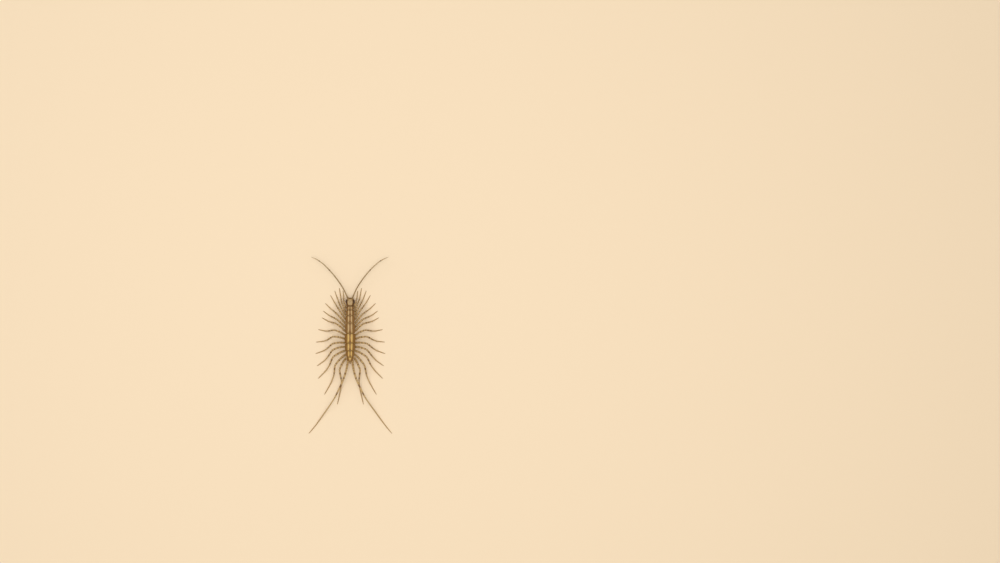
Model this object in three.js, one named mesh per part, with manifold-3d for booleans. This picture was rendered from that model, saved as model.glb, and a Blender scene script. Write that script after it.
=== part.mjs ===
// House centipede, an adult at life size, standing with its fifteen pairs of legs fanned out.
// Millimetres. +Z is up, +Y is the way the head points, and the feet stand on z = 0.
// The origin is below the middle of the whole animal, feelers and last legs included.
import * as THREE from "three";
import { mergeVertices } from "three/addons/utils/BufferGeometryUtils.js";
import Module from "manifold-3d";

// Driving dimensions
const headFront = 26.9;
const headRear = 22.3;
const trunkFront = 22.0;
const trunkRear = -8.9;
const tailEnd = -10.5;
const firstHip = 20.9; // middle of the first pair of legs along the body
const hipPitch = 2.14; // from one pair of legs to the next
const pairCount = 15;
const trunkHeight = 4.0; // middle of the trunk over the floor
const trunkHalfDepth = 1.2;
const hipHeight = 3.45;
const nodeGap = 0.3; // between parts that touch
const legSides = 6;
const flatFoot = Math.cos(Math.PI / legSides); // a foot this share of its radius up lies flat on the floor

// Colours and finishes
const finish = (color, roughness) =>
  new THREE.MeshStandardMaterial({ color, roughness, metalness: 0 });
const shell = finish(0xc09a5a, 0.45);
const flank = finish(0x8a6238, 0.6);
const limb = finish(0xa88a5c, 0.5);
const feeler = finish(0x94764a, 0.5);
const eyeBlack = finish(0x1c1512, 0.25);
const jaw = finish(0x6e4520, 0.4);

const wasm = await Module();
wasm.setup();

const model = new THREE.Group();
model.name = "house_centipede";

// A geometry's shape as a solid that can be cut, and back again
function solidOf(geometry) {
  const bare = geometry.clone();
  bare.deleteAttribute("normal");
  bare.deleteAttribute("uv");
  const merged = mergeVertices(bare, 1e-4);
  return new wasm.Manifold(
    new wasm.Mesh({
      numProp: 3,
      vertProperties: new Float32Array(merged.attributes.position.array),
      triVerts: new Uint32Array(merged.index.array),
    }),
  );
}

function geometryOf(solid) {
  const mesh = solid.getMesh();
  const geometry = new THREE.BufferGeometry();
  geometry.setAttribute("position", new THREE.BufferAttribute(mesh.vertProperties, 3));
  geometry.setIndex(new THREE.BufferAttribute(mesh.triVerts, 1));
  geometry.computeVertexNormals();
  return geometry;
}

// What is left of a body once another is cut from it: its largest closed surface
function cut(geometry, tool) {
  const pieces = solidOf(geometry).subtract(solidOf(tool)).decompose();
  pieces.sort((a, b) => b.volume() - a.volume());
  return geometryOf(pieces[0]);
}

function addNode(name, geometry, material) {
  const mesh = new THREE.Mesh(geometry, material);
  mesh.name = name;
  model.add(mesh);
}

// A closed body from points and triangles, turned so that its faces point out
function closedBody(points, faces) {
  const volume = faces.reduce(
    (sum, [a, b, c]) =>
      sum + points[a].dot(new THREE.Vector3().crossVectors(points[b], points[c])),
    0,
  );
  const geometry = new THREE.BufferGeometry().setFromPoints(points);
  geometry.setIndex(faces.flatMap(([a, b, c]) => (volume > 0 ? [a, b, c] : [a, c, b])));
  geometry.computeVertexNormals();
  return geometry;
}

// A body through rings of points, each end closed by a fan round its middle
function loft(rings) {
  const count = rings[0].length;
  const points = rings.flat();
  const faces = [];
  for (let r = 0; r + 1 < rings.length; r++)
    for (let k = 0; k < count; k++) {
      const next = (k + 1) % count;
      const here = r * count;
      const there = here + count;
      faces.push([here + k, here + next, there + next], [here + k, there + next, there + k]);
    }
  const last = (rings.length - 1) * count;
  for (let k = 1; k + 1 < count; k++) {
    faces.push([0, k + 1, k]);
    faces.push([last, last + k, last + k + 1]);
  }
  return closedBody(points, faces);
}

// A ring across the body: half width, half depth and middle height at one place along it.
// squareness is 1 for an ellipse and less for a squarer outline.
function bodyRing(y, halfWidth, halfDepth, height, sides, squareness) {
  return Array.from({ length: sides }, (_, k) => {
    const angle = (2 * Math.PI * (k + 0.5)) / sides;
    const bend = (v) => Math.sign(v) * Math.abs(v) ** squareness;
    return new THREE.Vector3(
      halfWidth * bend(Math.cos(angle)),
      y,
      height + halfDepth * bend(Math.sin(angle)),
    );
  });
}

// A tapering limb: stations are [place along the path, radius], and the path's points are numbered from 0
function limbRings(points, stations, sides, tension) {
  const curve = new THREE.CatmullRomCurve3(points, false, "catmullrom", tension);
  const spans = points.length - 1;
  const up = new THREE.Vector3(0, 0, 1);
  return stations.map(([place, radius]) => {
    const centre = curve.getPoint(place / spans);
    centre.z = Math.max(centre.z, radius * flatFoot);
    const along = curve.getTangent(place / spans);
    const across = new THREE.Vector3().crossVectors(along, up).normalize();
    const over = new THREE.Vector3().crossVectors(across, along);
    return Array.from({ length: sides }, (_, k) => {
      const angle = (2 * Math.PI * (k + 0.5)) / sides - Math.PI / 2;
      return centre
        .clone()
        .addScaledVector(across, radius * Math.cos(angle))
        .addScaledVector(over, radius * Math.sin(angle));
    });
  });
}

// A value read along a short list of [place, value] pairs
function along(stations, place) {
  const k = stations.findIndex(([p]) => p >= place);
  if (k === 0) return stations[0][1];
  if (k < 0) return stations.at(-1)[1];
  const [p0, v0] = stations[k - 1];
  const [p1, v1] = stations[k];
  return v0 + ((v1 - v0) * (place - p0)) / (p1 - p0);
}

// Half the trunk's width along the body, from the last pair of legs to the neck
const trunkHalfWidth = [
  [trunkRear, 1.75],
  [-6.5, 1.8],
  [-2.5, 2.0],
  [2.5, 2.2],
  [8, 2.15],
  [15, 1.95],
  [20, 1.75],
  [trunkFront, 1.45],
];

// Trunk: a flattened body whose fifteen segments bulge a little between grooves
function trunkRings(rear, front, grow) {
  const grooveDepth = 0.16;
  const perSegment = 3;
  const sides = 14;
  const steps = Math.max(1, Math.round(((front - rear) / hipPitch) * perSegment));
  return Array.from({ length: steps + 1 }, (_, k) => {
    const y = rear + ((front - rear) * k) / steps;
    const phase = ((firstHip - y) / hipPitch) * Math.PI;
    const bulge = grooveDepth * (Math.cos(phase) ** 2 - 1);
    const halfWidth = along(trunkHalfWidth, y) + bulge + grow;
    const end = k === 0 ? -grow : k === steps ? grow : 0;
    return bodyRing(y + end, halfWidth, trunkHalfDepth + bulge + grow, trunkHeight, sides, 0.8);
  });
}

const trunkBreaks = [trunkFront, 11.27, 0.57, trunkRear]; // the grooves behind the fifth and tenth pairs
["trunk_front", "trunk_middle", "trunk_rear"].forEach((name, k) => {
  const front = trunkBreaks[k] - (k > 0 ? nodeGap / 2 : 0);
  const rear = trunkBreaks[k + 1] + (k < 2 ? nodeGap / 2 : 0);
  addNode(name, loft(trunkRings(rear, front, 0)), flank);
});
const grownTrunk = loft(trunkRings(trunkRear, trunkFront, nodeGap * 1.1));

// Tail: the small blunt piece between the last pair of legs
const tailRings = [
  [trunkRear - nodeGap, 0.38, 0.75],
  [trunkRear - 0.85, 0.42, 0.68],
  [trunkRear - 1.3, 0.34, 0.5],
  [tailEnd, 0.16, 0.25],
];
addNode(
  "tail",
  loft(tailRings.map(([y, halfWidth, halfDepth]) => bodyRing(y, halfWidth, halfDepth, 4.3, 10, 1))),
  flank,
);

// Back plates: [front edge, rear edge, half width, share of it lost towards the rear edge], each an arched
// plate notched behind its breathing slit
const plates = [
  [22.0, 20.3, 2.15, 0],
  [20.0, 17.1, 2.4, 0],
  [16.8, 12.9, 2.6, 0],
  [12.6, 7.0, 2.8, 0],
  [6.7, 1.5, 3.05, 0],
  [1.2, -2.9, 2.95, 0.08],
  [-3.2, -6.4, 2.5, 0.14],
  [-6.7, -9.1, 1.95, 0.3],
];
const plateCrown = 6.1; // the back's height along the midline
const widestPlate = 3.05;
const plateThickness = 0.45;
const rimThickness = 0.36;

function plateGeometry(front, rear, halfWidth, taper, notched) {
  const across = 10;
  const lengthwise = Math.max(3, Math.round((front - rear) / 1.1));
  const points = [];
  const rows = [];
  for (let j = 0; j <= lengthwise; j++) {
    rows.push([]);
    for (let i = 0; i <= across; i++) {
      const u = (2 * i) / across - 1;
      const v = j / lengthwise;
      const reach = halfWidth * (1 - taper * v * v);
      const drop = 0.3 + 0.75 * (reach / widestPlate) ** 2; // how far its sides arch down
      const x = u * reach * (1 - 0.11 * Math.abs(2 * v - 1) ** 5);
      const notch = notched ? 0.5 * Math.max(0, 1 - (u / 0.5) ** 2) : 0;
      const corner = 0.35 * Math.abs(u) ** 5;
      const y = front - v * (front - rear) + v * v * (notch + corner) - (1 - v) ** 2 * corner;
      const saddle = notched ? 0.14 * Math.exp(-((u / 0.2) ** 2)) * v ** 3 : 0;
      const top = plateCrown - drop * u * u - 0.1 * (1 - v) + saddle;
      const thick = plateThickness + (rimThickness - plateThickness) * u * u;
      points.push(
        new THREE.Vector3(x, y, top),
        new THREE.Vector3(x, y, top - thick - saddle),
      );
      rows[j].push(points.length - 2);
    }
  }
  const faces = [];
  for (let j = 0; j < lengthwise; j++)
    for (let i = 0; i < across; i++) {
      const [a, b, c, d] = [rows[j][i], rows[j][i + 1], rows[j + 1][i + 1], rows[j + 1][i]];
      faces.push([a, d, c], [a, c, b]);
      faces.push([a + 1, c + 1, d + 1], [a + 1, b + 1, c + 1]);
    }
  const rim = [
    ...rows[0],
    ...rows.slice(1, -1).map((row) => row.at(-1)),
    ...rows.at(-1).toReversed(),
    ...rows.slice(1, -1).map((row) => row[0]).toReversed(),
  ];
  rim.forEach((a, k) => {
    const b = rim[(k + 1) % rim.length];
    faces.push([a, b, b + 1], [a, b + 1, a + 1]);
  });
  return closedBody(points, faces);
}

plates.forEach(([front, rear, halfWidth, taper], k) => {
  const notched = k < plates.length - 1;
  addNode(`back_plate_${k + 1}`, plateGeometry(front, rear, halfWidth, taper, notched), shell);
});

// Head: a low dome with a blunt front, hollowed on each side where the eye sits
const headStations = [
  [headRear, 1.5, 1.05, 4.25],
  [22.8, 1.9, 1.35, 4.25],
  [23.6, 2.2, 1.5, 4.25],
  [24.6, 2.3, 1.5, 4.25],
  [25.5, 2.2, 1.4, 4.2],
  [26.2, 1.85, 1.15, 4.15],
  [26.65, 1.35, 0.85, 4.1],
  [headFront, 0.75, 0.45, 4.05],
];
const headSides = 18;
const headGeometry = (grow) =>
  loft(
    headStations.map(([y, halfWidth, halfDepth, height], k) => {
      const end = k === 0 ? -grow : k === headStations.length - 1 ? grow : 0;
      return bodyRing(y + end, halfWidth + grow, halfDepth + grow, height, headSides, 0.85);
    }),
  );
const grownHead = headGeometry(nodeGap * 1.35);

const eyeCentre = new THREE.Vector3(1.94, 24.75, 4.7);
const eyeSize = new THREE.Vector3(0.65, 1.05, 0.78);
function eyeGeometry(side, grow) {
  const ball = new THREE.SphereGeometry(1, 14, 10);
  ball.scale(eyeSize.x + grow, eyeSize.y + grow, eyeSize.z + grow);
  ball.translate(side * eyeCentre.x, eyeCentre.y, eyeCentre.z);
  return ball;
}
const sides = { left: -1, right: 1 };
let head = headGeometry(0);
for (const [word, side] of Object.entries(sides)) {
  head = cut(head, eyeGeometry(side, nodeGap));
  addNode(`eye_${word}`, eyeGeometry(side, 0), eyeBlack);
}
addNode("head", head, shell);

// Point on one side of the body, from its distance out, its place along the body and its height
const sidePoint = (side, [x, y, z]) => new THREE.Vector3(side * x, y, z);

// Feelers: a stout base, then a long whip in two lengths, rising and then curving out and down
const feelerPath = [
  [1.05, 25.6, 4.5],
  [1.4, 26.9, 5.2],
  [2.05, 28.4, 5.8],
  [3.95, 32.4, 7.1],
  [7.4, 37.6, 8.5],
  [11.5, 42.5, 9.3],
  [15.2, 46.1, 9.3],
  [18.5, 48.4, 8.6],
  [21.6, 49.8, 7.5],
];
const feelerLengths = {
  base: [
    [0, 0.48],
    [0.6, 0.47],
    [1.1, 0.45],
    [1.8, 0.4],
  ],
  shaft: [
    [1.97, 0.35],
    [2.5, 0.35],
    [3, 0.34],
    [3.5, 0.33],
    [4, 0.32],
    [4.5, 0.31],
    [4.98, 0.3],
  ],
  whip: [
    [5.035, 0.3],
    [5.5, 0.29],
    [6, 0.28],
    [6.5, 0.27],
    [7, 0.25],
    [7.5, 0.2],
    [8, 0.11],
  ],
};
for (const [word, side] of Object.entries(sides))
  for (const [length, stations] of Object.entries(feelerLengths)) {
    const path = feelerPath.map((p) => sidePoint(side, p));
    const body = loft(limbRings(path, stations, 6, 0.5));
    addNode(`feeler_${length}_${word}`, length === "base" ? cut(body, grownHead) : body, feeler);
  }

// Mouthparts under the head, the palps beside them and the pair of venom claws below
const mouthRings = [
  [24.6, 0.55, 0.3],
  [25.1, 0.78, 0.5],
  [25.8, 0.8, 0.55],
  [26.4, 0.6, 0.4],
];
addNode(
  "mouthparts",
  cut(
    loft(mouthRings.map(([y, halfWidth, halfDepth]) => bodyRing(y, halfWidth, halfDepth, 2.55, 10, 1))),
    grownHead,
  ),
  jaw,
);
const palpPath = [
  [1.2, 24.3, 3.2],
  [1.5, 24.9, 2.5],
  [1.75, 25.9, 2.35],
  [1.35, 26.7, 2.2],
  [0.85, 27.0, 2.0],
];
const palpStations = [
  [0, 0.3],
  [1, 0.3],
  [2, 0.27],
  [3, 0.25],
  [4, 0.12],
];
const clawPath = [
  [0.75, 21.0, 3.2],
  [1.1, 21.7, 1.85],
  [1.8, 22.8, 1.55],
  [1.95, 24.1, 1.5],
  [1.5, 25.2, 1.45],
  [0.55, 25.6, 1.4],
];
const clawStations = [
  [0, 0.5],
  [1, 0.52],
  [1.9, 0.48],
  [2.1, 0.4],
  [3, 0.38],
  [4, 0.27],
  [5, 0.08],
];
for (const [word, side] of Object.entries(sides)) {
  const palp = palpPath.map((p) => sidePoint(side, p));
  addNode(`palp_${word}`, cut(loft(limbRings(palp, palpStations, 6, 0.5)), grownHead), limb);
  const claw = clawPath.map((p) => sidePoint(side, p));
  addNode(`venom_claw_${word}`, cut(loft(limbRings(claw, clawStations, 7, 0.5)), grownTrunk), jaw);
}

// Legs, front pair first: reach is the plan distance from hip to tip, sweep the way it points, forward of
// straight out in degrees, knee the knee's share of the reach, and knee and ankle lead how far forward of
// that line the leg runs there
const legPairs = [
  { reach: 10.6, sweep: 73, knee: 0.38, kneeLead: -17, ankleLead: -8 },
  { reach: 14.7, sweep: 70, knee: 0.38, kneeLead: -13, ankleLead: -8 },
  { reach: 16.2, sweep: 62, knee: 0.4, kneeLead: -9, ankleLead: -5 },
  { reach: 17.1, sweep: 54.6, knee: 0.42, kneeLead: -5, ankleLead: -3 },
  { reach: 17.2, sweep: 41.9, knee: 0.44, kneeLead: 1, ankleLead: 0 },
  { reach: 16.8, sweep: 33.6, knee: 0.46, kneeLead: 4, ankleLead: 0 },
  { reach: 16.4, sweep: 27.5, knee: 0.46, kneeLead: 7, ankleLead: 1 },
  { reach: 16.9, sweep: 10.1, knee: 0.45, kneeLead: 11, ankleLead: 1.5 },
  { reach: 18, sweep: -6.5, knee: 0.44, kneeLead: 15, ankleLead: 3 },
  { reach: 19.3, sweep: -19.6, knee: 0.42, kneeLead: 15, ankleLead: 3 },
  { reach: 20.7, sweep: -33, knee: 0.4, kneeLead: 19, ankleLead: 5.5 },
  { reach: 23.5, sweep: -44, knee: 0.38, kneeLead: 18, ankleLead: 4 },
  { reach: 26.8, sweep: -60, knee: 0.35, kneeLead: 17, ankleLead: 3 },
  { reach: 27.4, sweep: -77, knee: 0.3, kneeLead: 20, ankleLead: 3 },
  { reach: 47.3, sweep: -61.8, knee: 0.25, kneeLead: -15, ankleLead: -9 },
];
const legTension = 0.3;
const footRadius = 0.27;
const tipRadius = 0.13;

// Joints of a leg as path points 0 to 7: hip, coxa, second joint, knee, ankle, mid-foot, touch-down, tip
function legPath(pair, side) {
  const { reach, sweep, knee, kneeLead, ankleLead } = legPairs[pair];
  const last = pair === pairCount - 1;
  const share = pair / (pairCount - 1);
  const hipPlace = firstHip - pair * hipPitch;
  const hip = last
    ? new THREE.Vector3(1.27, trunkRear + 0.5, hipHeight + 0.35)
    : new THREE.Vector3(along(trunkHalfWidth, hipPlace) - 0.5, hipPlace, hipHeight);
  const kneeHeight = last ? 8.2 : 7 + 1.8 * share;
  const ankle = knee + (last ? 0.22 : 0.19);
  const ankleHeight = last ? 6.2 : 2.9 + 0.6 * share;
  const point = (distance, lead, height) => {
    const turn = THREE.MathUtils.degToRad(sweep + lead);
    return new THREE.Vector3(
      side * (hip.x + distance * Math.cos(turn)),
      hip.y + distance * Math.sin(turn),
      height,
    );
  };
  const secondLead = last ? kneeLead * 1.3 : kneeLead * 1.17 - sweep * 0.1;
  return [
    point(0, 0, hip.z),
    point(1.6, last ? -23 : -0.65 * sweep, hip.z + 0.2),
    point(reach * knee * 0.5, secondLead, kneeHeight * 0.86),
    point(reach * knee, kneeLead, kneeHeight),
    point(reach * ankle, ankleLead, ankleHeight),
    point((reach * (ankle + 0.86)) / 2, ankleLead * 0.4 - 1, ankleHeight * 0.33),
    point(reach * 0.86, ankleLead * 0.15 - 0.5, footRadius * flatFoot),
    point(reach, 0, tipRadius * flatFoot),
  ];
}

const upperLeg = [
  [0, 0.62],
  [0.8, 0.6],
  [1.0, 0.5],
  [1.14, 0.56],
  [1.9, 0.57],
  [2.02, 0.46],
  [2.14, 0.52],
  [2.9, 0.5],
  [3.03, 0.4],
  [3.16, 0.45],
  [3.98, 0.36],
];
const foot = [
  [4.022, 0.31],
  [4.5, 0.31],
  [5, 0.3],
  [5.5, 0.29],
  [6, footRadius],
  [6.5, 0.24],
  [7, tipRadius],
];
const stoutness = [
  [0, 0.84],
  [9, 1],
  [pairCount - 1, 1.08],
];
for (let pair = 0; pair < pairCount; pair++)
  for (const [word, side] of Object.entries(sides)) {
    const size = along(stoutness, pair);
    const upper = upperLeg.map(([place, radius]) => [place, radius * size]);
    const path = legPath(pair, side);
    const name = `leg_${pair + 1}_${word}`;
    if (pair < pairCount - 1) {
      const whole = loft(limbRings(path, [...upper, ...foot], legSides, legTension));
      addNode(name, cut(whole, grownTrunk), limb);
    } else {
      const thigh = loft(limbRings(path, upper, legSides, legTension));
      addNode(name, cut(thigh, grownTrunk), limb);
      addNode(`${name}_foot`, loft(limbRings(path, foot, legSides, legTension)), limb);
    }
  }

export default model;
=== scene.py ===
import math

import bpy
import numpy as np
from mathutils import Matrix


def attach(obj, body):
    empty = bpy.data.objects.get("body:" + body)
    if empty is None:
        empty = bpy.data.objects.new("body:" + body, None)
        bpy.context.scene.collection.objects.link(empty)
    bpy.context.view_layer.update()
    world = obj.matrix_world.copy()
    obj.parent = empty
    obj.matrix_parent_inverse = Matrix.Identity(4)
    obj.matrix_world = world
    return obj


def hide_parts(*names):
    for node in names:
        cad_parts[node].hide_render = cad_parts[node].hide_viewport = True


# House centipede at life size. Shapes are worked out in millimetres and written in metres.
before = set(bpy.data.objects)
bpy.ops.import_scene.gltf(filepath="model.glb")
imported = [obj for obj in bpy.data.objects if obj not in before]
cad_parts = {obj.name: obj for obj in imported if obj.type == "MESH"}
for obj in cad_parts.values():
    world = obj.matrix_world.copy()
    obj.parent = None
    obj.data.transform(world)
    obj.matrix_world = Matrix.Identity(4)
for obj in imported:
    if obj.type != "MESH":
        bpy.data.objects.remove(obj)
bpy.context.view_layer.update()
mm = 0.001
sides = {"Left": -1, "Right": 1}

# Camera: straight above, with the animal left of the picture's middle
cameraView = {
    "lens": 135.0,
    "sensor": 36.0,
    "pictureWide": 1000,
    "pictureHigh": 563,
    "bodyPixel": (350.15, 345.35),  # the middle of the model in the picture
    "mmPerPixel": 0.565,
    "aimHeight": 4.0,
    "clip": (0.01, 50.0),
}


def makeCamera(look):
    data = bpy.data.cameras.new("viewCamera")
    data.lens = look["lens"]
    data.sensor_width = look["sensor"]
    data.clip_start, data.clip_end = look["clip"]
    camera = bpy.data.objects.new("viewCamera", data)
    bpy.context.scene.collection.objects.link(camera)
    acrossPicture = look["pictureWide"] * look["mmPerPixel"]
    x = (look["pictureWide"] / 2 - look["bodyPixel"][0]) * look["mmPerPixel"]
    y = (look["bodyPixel"][1] - look["pictureHigh"] / 2) * look["mmPerPixel"]
    z = look["aimHeight"] + acrossPicture * look["lens"] / look["sensor"]
    camera.location = (x * mm, y * mm, z * mm)
    bpy.context.scene.camera = camera


makeCamera(cameraView)
print("camera placed")


# Node wiring: a wire is a socket that can be written in sums
class Wire:
    def __init__(self, graph, socket):
        self.graph, self.socket = graph, socket

    def out(self, name):  # another output of the same node
        return Wire(self.graph, findSocket(self.socket.node.outputs, name))

    def maths(self, operation, *others):
        return self.graph.maths(operation, self, *others)

    def __add__(self, other):
        return self.maths("ADD", other)

    def __radd__(self, other):
        return self.graph.maths("ADD", other, self)

    def __sub__(self, other):
        return self.maths("SUBTRACT", other)

    def __rsub__(self, other):
        return self.graph.maths("SUBTRACT", other, self)

    def __mul__(self, other):
        return self.maths("MULTIPLY", other)

    def __rmul__(self, other):
        return self.graph.maths("MULTIPLY", other, self)

    def __truediv__(self, other):
        return self.maths("DIVIDE", other)

    def __rtruediv__(self, other):
        return self.graph.maths("DIVIDE", other, self)

    def __pow__(self, other):
        return self.maths("POWER", other)

    def __rpow__(self, other):
        return self.graph.maths("POWER", other, self)

    def __gt__(self, other):
        return self.maths("GREATER_THAN", other)

    def __lt__(self, other):
        return self.maths("LESS_THAN", other)

    def soft(self, low, high):  # 0 below low, 1 above high, smooth between; low may be the larger
        return self.graph.add(
            "ShaderNodeMapRange",
            {"interpolation_type": "SMOOTHSTEP"},
            {"Value": self, "From Min": low, "From Max": high, "To Min": 0.0, "To Max": 1.0},
        )

    def part(self, axis):  # one number of a vector
        return self.graph.add("ShaderNodeSeparateXYZ", {}, {"Vector": self}).out(axis)

    def plus(self, other):
        return self.graph.vectors("ADD", self, other)

    def times(self, other):
        return self.graph.vectors("MULTIPLY", self, other)

    def scaled(self, amount):
        return self.graph.add("ShaderNodeVectorMath", {"operation": "SCALE"}, {0: self, "Scale": amount})


def findSocket(sockets, key):
    if isinstance(key, int):
        return sockets[key]
    live = [s for s in sockets if s.enabled]
    return next(s for way in ("identifier", "name") for s in live if getattr(s, way) == key)


class Graph:
    def __init__(self, tree):
        self.tree = tree

    def add(self, kind, settings=None, sockets=None):
        node = self.tree.nodes.new(kind)
        for name, value in (settings or {}).items():
            setattr(node, name, value)
        for key, value in (sockets or {}).items():
            socket = findSocket(node.inputs, key)
            for one in value if isinstance(value, list) else [value]:
                if isinstance(one, Wire):
                    self.tree.links.new(one.socket, socket)
                else:
                    socket.default_value = one
        live = [s for s in node.outputs if s.enabled]
        return Wire(self, live[0]) if live else None

    def maths(self, operation, *values):
        return self.add("ShaderNodeMath", {"operation": operation}, dict(enumerate(values)))

    def vectors(self, operation, *values):
        return self.add("ShaderNodeVectorMath", {"operation": operation}, dict(enumerate(values)))

    def mix(self, share, first, second):  # colours
        first, second = ((*c, 1.0) if isinstance(c, tuple) else c for c in (first, second))
        settings = {"data_type": "RGBA", "clamp_factor": True}
        return self.add("ShaderNodeMix", settings, {"Factor": share, "A": first, "B": second})

    def named(self, name):  # a number that the mesh carries, read in a finish
        return self.add("ShaderNodeAttribute", {"attribute_name": name}).out("Fac")

    def noise(self, place, size, detail=2.0, stretch=(1, 1, 1)):  # size of a blotch in millimetres
        moved = self.add("ShaderNodeMapping", {}, {"Vector": place, "Scale": stretch})
        sockets = {"Vector": moved, "Scale": 1 / (size * mm), "Detail": detail, "Roughness": 0.55}
        return self.add("ShaderNodeTexNoise", {}, sockets)

    def veins(self, place, size, width=0.06):  # thin wandering lines
        return (self.noise(place, size, 3.0) - 0.5).maths("ABSOLUTE").soft(width, 0.0)

    def store(self, geometry, name, value, kind="FLOAT"):
        settings = {"data_type": kind, "domain": "POINT"}
        sockets = {"Geometry": geometry, "Name": name, "Value": value}
        return self.add("GeometryNodeStoreNamedAttribute", settings, sockets)

    def read(self, name, kind="FLOAT"):  # the same in a growing tree
        return self.add("GeometryNodeInputNamedAttribute", {"data_type": kind}, {"Name": name})


# Finishes: each look gives colours, and the sizes of its blotches, grain and veins in millimetres
def startFinish(name, look):
    material = bpy.data.materials.new(name)
    material.use_nodes = True
    material.node_tree.nodes.clear()
    graph = Graph(material.node_tree)
    place = graph.add("ShaderNodeTexCoord").out("Object")
    blotch = graph.noise(place, look["blotch"])
    grain = graph.noise(place, look["grain"], look.get("grainDetail", 3.0))
    return material, graph, place, blotch, grain


def endFinish(material, graph, colour, roughness, height, look):
    if "bristle" in look:
        colour = graph.mix(graph.named("horn"), colour, look["bristle"])
    bumps = {"Strength": look["bump"], "Distance": look["bumpHeight"] * mm, "Height": height}
    sockets = {
        "Base Color": colour,
        "Roughness": roughness,
        "Normal": graph.add("ShaderNodeBump", {}, bumps),
        "Coat Weight": look.get("coat", 0.0),
        "Coat Roughness": look.get("coatRoughness", 0.2),
        "Specular IOR Level": look.get("shine", 0.5),
    }
    shader = graph.add("ShaderNodeBsdfPrincipled", {}, sockets)
    graph.add("ShaderNodeOutputMaterial", {}, {"Surface": shader})
    return material


shellLook = {
    "paleTan": (0.60, 0.42, 0.20),  # the pale stripes of the front plates
    "gold": (0.635, 0.40, 0.105),  # and of the rear plates
    "stripe": (0.18, 0.077, 0.011),
    "cream": (0.68, 0.52, 0.27),
    "speck": (0.31, 0.165, 0.035),
    "slit": (0.26, 0.08, 0.015),
    "bristle": (0.04, 0.02, 0.01),
    "blotch": 0.9,
    "grain": 0.16,
    "streak": 0.35,
    "speckSize": 0.11,
    "veins": 0.55,
    "roughness": 0.44,  # the least, and how much the grain adds
    "roughnessSpread": 0.22,
    "bump": 0.5,
    "bumpHeight": 0.03,
    "coat": 0.03,
    "coatRoughness": 0.3,
    "shine": 0.3,
}


def platesFinish(look):
    # across runs from -1 to 1 over a plate, back from 0 at its front edge to 1 at its rear edge
    material, graph, place, blotch, grain = startFinish("stripedShell", look)
    across, back, slit = graph.named("across"), graph.named("back"), graph.named("slit")
    out, along = across.maths("ABSOLUTE"), place.part("Y")
    streak = graph.noise(place, look["streak"], 2.0, (2.2, 0.35, 1.0))
    ragged = out + (blotch - 0.5) * 0.1 + (streak - 0.5) * 0.07
    goldShare = along.soft(9.0 * mm, 5.0 * mm)
    colour = graph.mix(goldShare, look["paleTan"], look["gold"])
    colour = graph.mix((streak - 0.4) * 0.9, colour, look["cream"])
    speck = graph.noise(place, look["speckSize"], 1.0).soft(0.56, 0.68) * (0.25 + 0.5 * blotch)
    colour = graph.mix(speck, colour, look["speck"])
    colour = graph.mix(graph.veins(place, look["veins"]) * 0.4, colour, look["speck"])
    joint = (back - 0.5).maths("ABSOLUTE").soft(0.2, 0.48)
    # towards the tail the dark sides close in and the middle line fades
    closing = along.soft(-6.5 * mm, -8.6 * mm)
    fading = along.soft(-6.8 * mm, -7.3 * mm)
    middle = (ragged + goldShare * 0.07 - joint * 0.07).soft(0.31, 0.17) * (0.85 + 0.15 * joint)
    middle = middle * (1 - fading)
    lateral = (ragged - goldShare * 0.03 + closing * 0.36).soft(0.39, 0.49)
    lateral = lateral * (1 - 0.3 * out.soft(0.955, 0.985))
    seam = (back.soft(0.9, 0.97) * 0.85 + back.soft(0.08, 0.0) * 0.6) * (0.65 + 0.35 * goldShare)
    rearEnd = back.soft(0.5, 0.85) * along.soft(-7.2 * mm, -8.0 * mm) * 0.8
    dark = middle.maths("MAXIMUM", lateral).maths("MAXIMUM", seam).maths("MAXIMUM", rearEnd)
    colour = graph.mix(dark * (0.93 + (grain - 0.5) * 0.5), colour, look["stripe"])
    colour = graph.mix(slit, colour, look["slit"])
    roughness = look["roughness"] + grain * look["roughnessSpread"] + blotch * 0.1
    return endFinish(material, graph, colour, roughness, grain * 0.6 + streak * 0.4, look)


headLook = {
    "tan": (0.40, 0.265, 0.11),
    "pale": (0.52, 0.37, 0.175),
    "vein": (0.25, 0.125, 0.035),
    "brown": (0.15, 0.062, 0.012),
    "bristle": (0.04, 0.02, 0.01),
    "blotch": 0.8,
    "ragged": 0.3,
    "grain": 0.14,
    "veins": 0.6,
    "roughness": 0.39,
    "roughnessSpread": 0.22,
    "bump": 0.45,
    "bumpHeight": 0.025,
    "coat": 0.06,
    "coatRoughness": 0.25,
    "shine": 0.35,
}


def headFinish(look):
    material, graph, place, blotch, grain = startFinish("headShell", look)
    colour = graph.mix((blotch - 0.3) * 1.2, look["tan"], look["pale"])
    colour = graph.mix(graph.veins(place, look["veins"]) * 0.45, colour, look["vein"])
    ragged = (blotch - 0.5) * 0.5 + (graph.noise(place, look["ragged"], 3.0) - 0.5) * 0.7
    dark = (graph.named("dark") + ragged).soft(0.25, 0.75)
    colour = graph.mix(dark * 0.9, colour, look["brown"])
    roughness = look["roughness"] + grain * look["roughnessSpread"]
    return endFinish(material, graph, colour, roughness, grain, look)


flankLook = {
    "pale": (0.42, 0.275, 0.11),
    "brown": (0.18, 0.08, 0.014),
    "belly": (0.50, 0.37, 0.19),
    "bristle": (0.05, 0.025, 0.012),
    "blotch": 0.7,
    "grain": 0.12,
    "veins": 0.5,
    "roughness": 0.5,
    "roughnessSpread": 0.3,
    "bump": 0.6,
    "bumpHeight": 0.04,
}


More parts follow.
